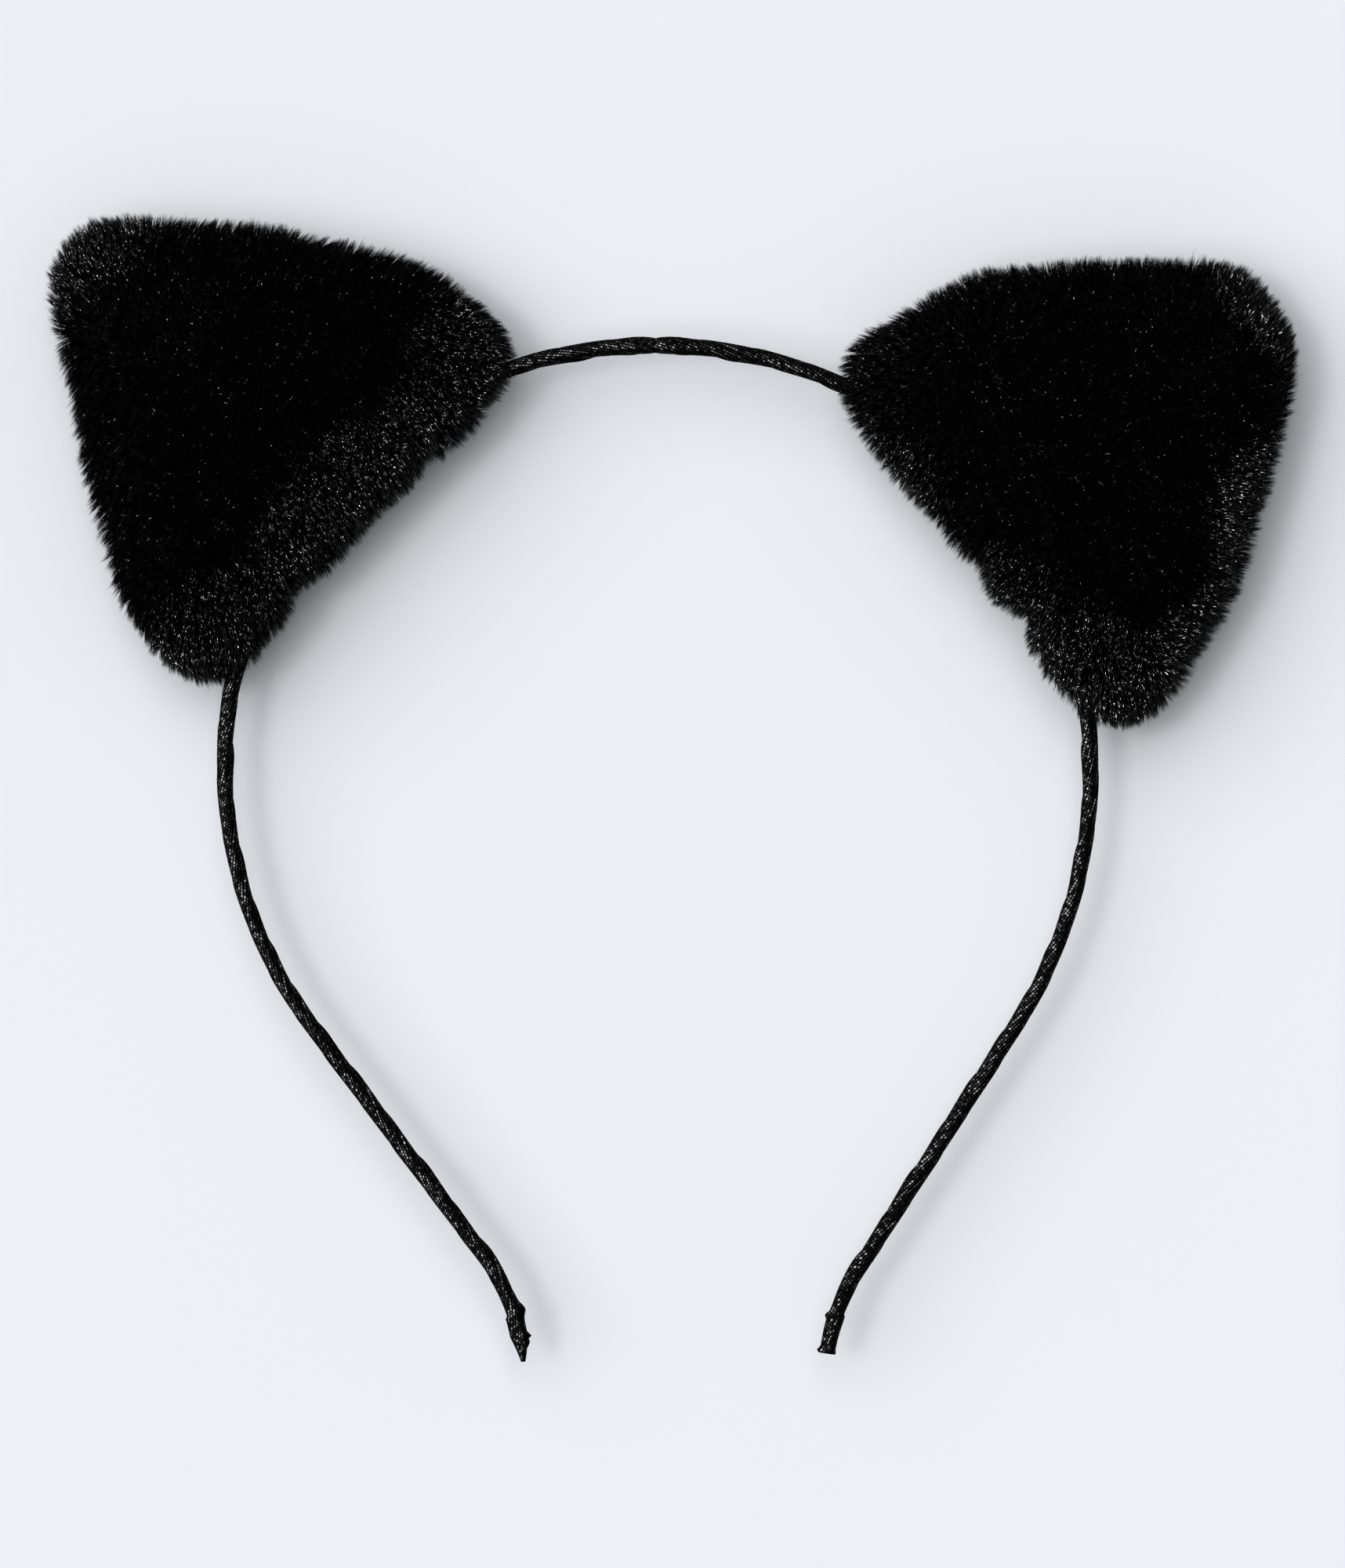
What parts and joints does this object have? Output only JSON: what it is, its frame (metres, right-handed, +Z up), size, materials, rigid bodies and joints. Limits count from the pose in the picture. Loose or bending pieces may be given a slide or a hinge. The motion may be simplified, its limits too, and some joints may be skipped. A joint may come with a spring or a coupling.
{
  "type": "animal ears headband",
  "caption": "Thin spring-wire hair hoop wound with ribbed black ribbon, with two padded black faux-fur cat ears sewn on beside the crown.",
  "frame": {"origin": "centre of the bounding box, on the surface that the headband lies on", "axes": "+X to the right ear as seen from the front, +Y from the tips of the hoop towards the crown, +Z up out of the plane of the hoop"},
  "size_m": [0.18, 0.1675, 0.0181],
  "materials": {
    "fur": "long-pile black faux fur",
    "ribbon": "ribbed black satin ribbon",
    "wire": "drawn spring steel",
    "wadding": "white polyester wadding",
    "thread": "black sewing thread"
  },
  "bodies": {
    "crown": {"wire_crown": "wire", "ribbon_crown_left": "ribbon", "ribbon_crown_right": "ribbon"},
    "side_left": {"wire_side_left": "wire", "ribbon_side_left": "ribbon"},
    "leg_left": {"wire_leg_left": "wire", "ribbon_leg_left": "ribbon", "ribbon_end_left": "ribbon"},
    "ear_left": {"fur_front_left": "fur", "fur_back_left": "fur", "wadding_left": "wadding", "edge_seam_left": "thread", "base_seam_left": "thread", "inner_tack_left": "thread", "outer_tack_left": "thread"},
    "side_right": {"wire_side_right": "wire", "ribbon_side_right": "ribbon"},
    "leg_right": {"wire_leg_right": "wire", "ribbon_leg_right": "ribbon", "ribbon_end_right": "ribbon"},
    "ear_right": {"fur_front_right": "fur", "fur_back_right": "fur", "wadding_right": "wadding", "edge_seam_right": "thread", "base_seam_right": "thread", "inner_tack_right": "thread", "outer_tack_right": "thread"}
  },
  "joints": [
    {"name": "crown_left_flex", "type": "hinge", "parent": "crown", "child": "side_left", "pos_m": [-0.0253, 0.06047, 0.009], "axis": [0, 0, -1], "range_deg": [-2, 10], "stiffness_Nm_per_rad": 1.1},
    {"name": "leg_left_flex", "type": "hinge", "parent": "side_left", "child": "leg_left", "pos_m": [-0.06474, 0.01629, 0.009], "axis": [0, 0, -1], "range_deg": [-6, 14], "stiffness_Nm_per_rad": 0.64},
    {"name": "ear_left_tilt", "type": "hinge", "parent": "side_left", "child": "ear_left", "pos_m": [-0.04502, 0.03838, 0.009], "axis": [0.6659, 0.7461, 0], "range_deg": [0, 20]},
    {"name": "crown_right_flex", "type": "hinge", "parent": "crown", "child": "side_right", "pos_m": [0.02486, 0.05828, 0.009], "axis": [0, 0, 1], "range_deg": [-2, 10], "stiffness_Nm_per_rad": 1.1},
    {"name": "leg_right_flex", "type": "hinge", "parent": "side_right", "child": "leg_right", "pos_m": [0.06022, 0.01135, 0.009], "axis": [0, 0, 1], "range_deg": [-6, 14], "stiffness_Nm_per_rad": 0.64},
    {"name": "ear_right_tilt", "type": "hinge", "parent": "side_right", "child": "ear_right", "pos_m": [0.04254, 0.03481, 0.009], "axis": [0.6018, -0.7986, 0], "range_deg": [0, 20]}
  ]
}
